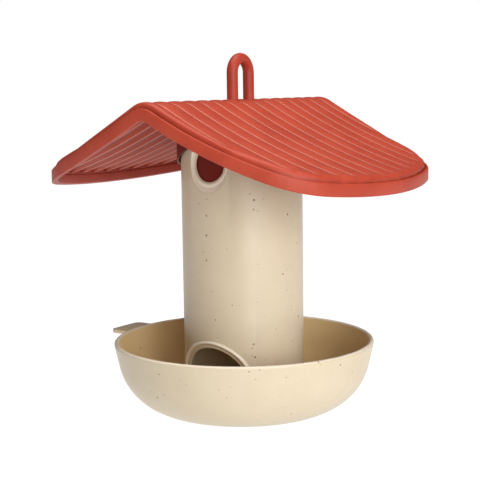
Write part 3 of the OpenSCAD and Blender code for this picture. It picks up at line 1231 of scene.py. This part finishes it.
@dataclass
class Canopy:
    """The roof's ribbed field and the rim round it."""

    shape: RoofShape
    rim_height: float = 7.7 * MM
    rim_drop: float = 2.5 * MM
    rim_wall: float = 4.2 * MM
    lip: float = 1.5 * MM
    groove: float = 1.25 * MM
    groove_depth: float = 1.6 * MM
    ledge: float = 3.2 * MM
    ledge_top: float = 1.2 * MM
    ledge_low: float = 4.3 * MM
    tuck: float = 0.1 * MM
    edge_steps: tuple[float, ...] = (0.12 * MM, 0.28 * MM, 0.45 * MM, 0.6 * MM, 0.75 * MM, 0.9 * MM)
    edge_drop: float = 2.1 * MM
    edge_sag: float = 0.01 * MM
    rib_cuts: tuple[float, ...] = (0, 0.27, 0.52, 0.76)
    near_step: float = 1.5 * MM
    near_steps: int = 8
    far_step: float = 5 * MM
    fill_reach: float = 6.5 * MM
    fill_share: float = 0.45
    # The painted highlight on the rib lines fades in over these distances: on top past the rolled edge,
    # underneath from the groove.
    rib_highlight_fade: float = 1.5 * MM
    under_highlight_fade: float = 2 * MM
    crease: float = 34

    @property
    def inset(self) -> float:
        """Distance of the field's edge inside the roof's edge."""
        return self.lip + self.groove

    def rib_stations(self) -> list[float]:
        """Finds where the field is divided along the ridge.

        Returns:
            The places, in order.
        """
        half, fillet = self.shape.pitch / 2, self.shape.fillet
        marks = [share * half for share in self.rib_cuts] + [half - fillet, half - 0.4 * fillet]
        far = self.shape.half_length - self.inset
        ribs = math.ceil(far / self.shape.pitch)
        places = set()
        for k in range(-ribs, ribs + 1):
            middle = k * self.shape.pitch
            places |= {round(middle + s * m, 7) for m in marks for s in (-1, 1)}
            places.add(round(middle + half, 7))
        return sorted(p for p in places if abs(p) < far)

    def slope_stations(self) -> list[float]:
        """Finds where the field is divided across the ridge.

        Returns:
            The places, in order, which are close together on the ridge's round.
        """
        near = [self.near_step * k for k in range(self.near_steps)]
        edge = self.near_step * self.near_steps
        steps = math.ceil((self.shape.half_width - self.inset - edge) / self.far_step)
        far = [edge + self.far_step * k for k in range(steps)]
        return sorted({s * p for p in near + far for s in (-1, 1)})

    def top_rise(self, y: float, deep: float) -> float:
        """Rise of the field's upper side, whose hollows fill up and whose edge rolls down at the groove.

        Args:
            y: Place along the ridge.
            deep: Distance inside the field's edge.

        Returns:
            The rise over the roof's surface.
        """
        rise = self.shape.ribbing(y)
        rise += (self.shape.rib - rise) * self.fill_share * max(1 - deep / self.fill_reach, 0)
        short = max(1 - deep / sum(self.edge_steps), 0)
        return rise - self.edge_drop * (1 - math.sqrt(1 - short * short))

    def under_rise(self, y: float, deep: float) -> float:
        """Rise of the field's underside, which starts from the groove's bed.

        Args:
            y: Place along the ridge.
            deep: Distance inside the field's edge.

        Returns:
            The rise over the roof's surface.
        """
        if deep < self.edge_sag:
            return -self.rim_drop - self.groove_depth
        return self.shape.barrel(y, self.shape.hollow) - self.shape.shell

    def flat_sheet(self) -> Form:
        """Lays out the field's plan.

        Returns:
            A flat sheet with steps along its edge, cut at the stations.
        """
        form = Form()
        for name in ("rib_highlight", "below"):
            form.bm.verts.layers.float.new(name)
        plan = self.shape.plan(self.inset)
        ring = bmesh.ops.create_circle(form.bm, cap_ends=True, cap_tris=False, segments=len(plan), radius=1)
        for vert, (x, y) in zip(ring["verts"], plan):
            vert.co = (x, y, 0)
        middle = form.bm.faces[:]
        for step in self.edge_steps:
            bmesh.ops.inset_individual(form.bm, faces=middle, thickness=step, depth=0, use_even_offset=True)
        across, along = Vector((1, 0, 0)), Vector((0, 1, 0))
        for way, spots in ((across, self.slope_stations()), (along, self.rib_stations())):
            for spot in spots:
                bmesh.ops.bisect_plane(form.bm, geom=form.whole(), dist=NEAR, plane_co=way * spot,
                                       plane_no=way)
        return form

    def build_field(self) -> bpy.types.Object:
        """Builds the ribbed field, and stores where its lines carry a painted highlight and where it faces
        down, for the painted shade in its hollows.

        Returns:
            The piece.
        """
        form = self.flat_sheet()
        rib_highlight, below = (form.bm.verts.layers.float[name] for name in ("rib_highlight", "below"))
        under = form.pull(form.bm.faces[:], (0, 0, 0), keep=True)
        for vert in form.bm.verts:
            x, y, _ = vert.co
            deep = max(self.shape.depth_inside(x, y) - self.inset, 0)
            if vert in under:
                rise = self.under_rise(y, deep)
                # Underneath: the painted highlight on the rib lines fades in from the groove, and the painted
                # shade fills every hollow.
                vert[rib_highlight], vert[below] = min(deep / self.under_highlight_fade, 1), 1
            else:
                rise = self.top_rise(y, deep)
                # On top: the painted highlight on the rib lines fades in past the rolled edge.
                vert[rib_highlight] = min(max(deep - sum(self.edge_steps), 0) / self.rib_highlight_fade, 1)
            vert.co.z = self.shape.lift(x, rise)
        bmesh.ops.recalc_face_normals(form.bm, faces=form.bm.faces[:])
        return form.finish("roof_field", self.crease)

    def build_rim(self) -> bpy.types.Object:
        """Builds the rim with its groove.

        Returns:
            The piece.
        """
        top, low, bed = -self.rim_drop, -self.rim_drop - self.rim_height, -self.rim_drop - self.groove_depth
        inside = self.inset + self.tuck
        section = softened([(0, low, 0.5 * MM), (0, top, 0.6 * MM), (self.lip, top, 0.4 * MM),
                            (self.lip, bed, 0), (inside, bed, 0), (inside, -self.ledge_top, 0),
                            (self.ledge, -self.ledge_top, 0), (self.ledge, -self.ledge_low, 0),
                            (self.rim_wall, -self.ledge_low, 0.45 * MM), (self.rim_wall, low, 0.7 * MM)])
        form = Form()
        form.loft([[(x, y, self.shape.lift(x, rise)) for x, y in self.shape.plan(inset)]
                   for inset, rise in section])
        return form.finish("roof_rim")

    def dress(self, dresser: Dresser) -> None:
        """Builds the field and the rim and dresses them."""
        dresser.dress(self.build_field(), Terracotta(rib_pitch=self.shape.pitch), Body.ROOF, "roof_canopy")
        dresser.dress(self.build_rim(), Terracotta(), Body.ROOF, "roof_canopy")


@dataclass
class RoofPlug:
    """The plug under the roof: a plate on the tube, a skirt inside it and a collar round it."""

    shape: RoofShape
    tube_top: float = SeedTube.top
    room: float = 0.05 * MM
    plate: float = 2.5 * MM
    skirt_outer: float = 38.25 * MM
    skirt_wall: float = 2.2 * MM
    skirt_length: float = 34 * MM
    skirt_root: float = 0.8 * MM
    skirt_edge: float = 0.3 * MM
    lead: float = 0.8 * MM
    collar_inner: float = 42.7 * MM
    collar_outer: float = 44.2 * MM
    collar_height: float = 24.3 * MM
    collar_depth: float = 0.6
    plate_edge: float = 0.4 * MM
    leg_gap: float = 19.5 * MM
    socket_radius: float = 6.2 * MM
    socket_taper: float = 0.3 * MM
    socket_height: float = 6 * MM
    # Painted shade: a darker copy of the roof's terracotta, because the plug sits in shade inside the tube
    # and under the roof.
    plastic: Terracotta = Terracotta(light=paint(108, 28, 18), deep=paint(100, 24, 15), gloss=0.12)

    @property
    def plate_low(self) -> float:
        """Height of the plate's underside."""
        return self.tube_top + self.room

    @property
    def plate_high(self) -> float:
        """Height of the plate's top."""
        return self.plate_low + self.plate

    def build_body(self) -> bpy.types.Object:
        """Builds the plate with its skirt and the loop's sockets.

        Returns:
            The piece.
        """
        low, high, end = self.plate_low, self.plate_high, self.tube_top - self.skirt_length
        outer, inner = self.skirt_outer, self.skirt_outer - self.skirt_wall
        form = Form()
        form.turn([(0, low), (inner - self.skirt_root, low), (inner, low - self.skirt_root),
                   (inner, end + self.skirt_edge), (inner + self.skirt_edge, end), (outer - self.lead, end),
                   (outer, end + self.lead), (outer, low), (self.collar_outer - self.plate_edge, low),
                   (self.collar_outer, low + self.plate_edge), (self.collar_outer, high), (0, high)],
                  steps=128, closed=False)
        for side in Side:
            middle = (0, side.value * self.leg_gap / 2, high + (self.socket_height - MM) / 2)
            bmesh.ops.create_cone(form.bm, cap_ends=True, segments=40, radius1=self.socket_radius,
                                  radius2=self.socket_radius - self.socket_taper,
                                  depth=self.socket_height + MM, matrix=Matrix.Translation(middle))
        return form.finish("plug_body")

    def build_collar(self) -> bpy.types.Object:
        """Builds the collar, whose lips follow the roof and whose top ends inside its shell.

        Returns:
            The piece.
        """
        form = Form()
        form.turn(softened([(self.collar_inner, 0, 0.5 * MM), (self.collar_outer, 0, 0.5 * MM),
                            (self.collar_outer, 1, 0), (self.collar_inner, 1, 0)]), steps=160)
        for vert in form.bm.verts:
            foot = self.shape.lift(vert.co.x, 0) - self.collar_height
            head = self.shape.lift(vert.co.x, -self.shape.shell * self.collar_depth)
            vert.co.z = head if vert.co.z > 0.5 else foot + vert.co.z
        return form.finish("plug_collar")

    def dress(self, dresser: Dresser) -> None:
        """Builds the plug's two pieces and dresses them."""
        for piece in (self.build_body(), self.build_collar()):
            dresser.dress(piece, self.plastic, Body.ROOF, "roof_plug")


@dataclass
class HangingLoop:
    """The hairpin loop of round bar on the plug's plate, and the screws that hold it from below."""

    plug: RoofPlug
    bar: float = 3.83 * MM
    bend_height: float = 236.82 * MM
    screw_length: float = 13 * MM
    screw_radius: float = 1.5 * MM
    screw_point: float = 1.5 * MM
    head_radius: float = 3.2 * MM
    head_height: float = 2 * MM
    plastic: Terracotta = Terracotta(light=paint(156, 52, 34), deep=paint(146, 44, 28))

    def build_bar(self) -> bpy.types.Object:
        """Builds the loop.

        Returns:
            The piece.
        """
        form = Form()
        root, bend = self.plug.plate_high, self.bend_height
        bmesh.ops.create_circle(form.bm, cap_ends=True, segments=40, radius=self.bar,
                                matrix=Matrix.Translation((0, self.plug.leg_gap / 2, root)))
        form.pull(form.bm.faces[:], (0, 0, bend - root))
        form.spin(self._bend_ends(form), math.pi, steps=36, centre=(0, 0, bend), axis=(1, 0, 0))
        form.pull([f for f in self._bend_ends(form) if f.calc_center_median().y < 0], (0, 0, root - bend))
        bmesh.ops.delete(form.bm, geom=self._bend_ends(form), context="FACES_ONLY")
        form.close()
        return form.finish("loop_bar")

    def _bend_ends(self, form: Form) -> list[bmesh.types.BMFace]:
        """The round faces across the bar where the bend begins or ends."""
        return [f for f in form.bm.faces if len(f.verts) > 4
                and f.calc_center_median().z > self.bend_height - NEAR]

    def build_screws(self) -> bpy.types.Object:
        """Builds the two pan-head screws.

        Returns:
            The piece.
        """
        seat, head, shank = self.plug.plate_low, self.head_radius, self.screw_radius
        low, tip = seat - self.head_height, seat + self.screw_length
        drive = [(0, low + 0.9 * MM), (1.1 * MM, low + 0.9 * MM), (1.2 * MM, low + 0.05 * MM)]
        pan = [(head - 1.1 * MM, low + 0.02 * MM), (head - 0.5 * MM, low + 0.3 * MM), (head, low + MM),
               (head, seat)]
        thread = [(shank, seat), (shank, tip - self.screw_point), (0.3 * MM, tip), (0, tip)]
        pair = Form()
        for side in Side:
            form = Form()
            form.turn(drive + pan + thread, steps=40, closed=False)
            bmesh.ops.translate(form.bm, verts=form.bm.verts[:],
                                vec=(0, side.value * self.plug.leg_gap / 2, 0))
            pair.add(form)
        return pair.finish("loop_screw_pair")

    def dress(self, dresser: Dresser) -> None:
        """Builds the loop and its screws and dresses them."""
        dresser.dress(self.build_bar(), self.plastic, Body.ROOF, "hanging_loop")
        dresser.dress(self.build_screws(), ZincedSteel(), Body.ROOF, "loop_screws")


# The studio


@dataclass(frozen=True)
class SoftLight:
    """A square soft light that looks at the feeder's middle.

    Its bearing runs from the front towards the right, and its power is in watts.
    """

    name: str
    bearing: float
    elevation: float
    distance: float
    size: float
    power: float

    def build(self, middle: float) -> None:
        """Hangs the light.

        Args:
            middle: Height of the feeder's middle.
        """
        lamp = bpy.data.lights.new(self.name, "AREA")
        lamp.energy, lamp.size = self.power, self.size
        turn, tilt = math.radians(self.bearing), math.radians(self.elevation)
        way = Vector((math.sin(turn) * math.cos(tilt), -math.cos(turn) * math.cos(tilt), math.sin(tilt)))
        obj = bpy.data.objects.new(self.name, lamp)
        obj.location = Vector((0, 0, middle)) + way * self.distance
        obj.rotation_euler = way.to_track_quat("Z", "Y").to_euler()
        bpy.context.scene.collection.objects.link(obj)


@dataclass
class Studio:
    """The pale floor, the soft lights and the camera."""

    floor_radius: float = 6.0
    floor_gap: float = 0.02 * MM
    floor_glow: float = 1.0
    ambient: float = 0.15
    middle: float = 130 * MM
    lights: tuple[SoftLight, ...] = (
        SoftLight("key_light", bearing=72, elevation=22, distance=1.7, size=1.4, power=20),
        SoftLight("front_light", bearing=50, elevation=9, distance=1.7, size=0.9, power=13),
        SoftLight("top_light", bearing=10, elevation=84, distance=1.5, size=1.2, power=23))
    distance: float = 832.93 * MM
    azimuth: float = 33.986
    eye: float = 228.76 * MM
    sensor: float = 36
    lens: float = 91.23
    yaw: float = -0.00358
    dip: float = 0.1228
    roll: float = -0.01435
    shift: Point = (0.00358, -0.01006)

    def build_floor(self) -> None:
        """Lays the floor."""
        form = Form()
        bmesh.ops.create_circle(form.bm, cap_ends=True, cap_tris=False, segments=96, radius=self.floor_radius,
                                matrix=Matrix.Translation((0, 0, -self.floor_gap)))
        floor = form.finish("floor")
        bench = Bench(bpy.data.materials.new("floor_paper"))
        tone = bench.blend(bench.noise(3).faded(0.6, 0.4), (0.10, 0.10, 0.10, 1), (0.08, 0.08, 0.08, 1))
        floor.data.materials.append(bench.shade(Base_Color=tone, Roughness=1.0, Specular_IOR_Level=0.0,
                                                Emission_Color=WHITE, Emission_Strength=self.floor_glow))

    def build_sky(self) -> None:
        """Sets the even light of the white room, and the white that the camera sees behind the feeder."""
        bench = Bench(bpy.data.worlds.new("studio"))
        to_camera = bench.node("ShaderNodeLightPath", {}, {}, "Is Camera Ray")
        lit = bench.node("ShaderNodeBackground", {}, {"Color": WHITE, "Strength": self.ambient})
        seen = bench.node("ShaderNodeBackground", {}, {"Color": WHITE})
        mix = bench.node("ShaderNodeMixShader", {}, {0: to_camera, 1: lit, 2: seen})
        bench.end("ShaderNodeOutputWorld", mix)
        bpy.context.scene.world = bench.owner

    def build_camera(self) -> None:
        """Sets the camera where the photograph was taken. Yaw, dip and roll are in radians."""
        turn = math.radians(self.azimuth)
        place = Vector((self.distance * math.sin(turn), -self.distance * math.cos(turn), self.eye))
        right = Vector((math.cos(turn), math.sin(turn), 0))
        ahead = Vector((-math.sin(turn), math.cos(turn), 0))
        up = Vector((0, 0, 1))
        right, ahead = (math.cos(self.yaw) * right - math.sin(self.yaw) * ahead,
                        math.sin(self.yaw) * right + math.cos(self.yaw) * ahead)
        ahead, up = (math.cos(self.dip) * ahead - math.sin(self.dip) * up,
                     math.sin(self.dip) * ahead + math.cos(self.dip) * up)
        right, up = (math.cos(self.roll) * right + math.sin(self.roll) * up,
                     math.cos(self.roll) * up - math.sin(self.roll) * right)
        data = bpy.data.cameras.new("camera")
        data.sensor_fit, data.sensor_width, data.lens = "HORIZONTAL", self.sensor, self.lens
        data.shift_x, data.shift_y = self.shift
        data.clip_start, data.clip_end = 0.01, 30
        camera = bpy.data.objects.new("camera", data)
        camera.matrix_world = Matrix.Translation(place) @ Matrix((right, up, -ahead)).transposed().to_4x4()
        bpy.context.scene.collection.objects.link(camera)
        bpy.context.scene.camera = camera

    def build(self) -> None:
        """Builds the whole studio."""
        self.build_floor()
        self.build_sky()
        for light in self.lights:
            light.build(self.middle)
        bpy.context.scene.view_settings.view_transform = "Standard"
        self.build_camera()


def main() -> None:
    """Builds the feeder and its studio."""
    logging.basicConfig(level=logging.INFO, format="%(name)s: %(message)s")
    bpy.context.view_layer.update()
    shape = RoofShape()
    plug = RoofPlug(shape)
    dresser = Dresser()
    for assembly in (FeedingBowl(), SeedTube(), Canopy(shape), plug, HangingLoop(plug)):
        assembly.dress(dresser)
    Studio().build()


if __name__ == "__main__":
    main()
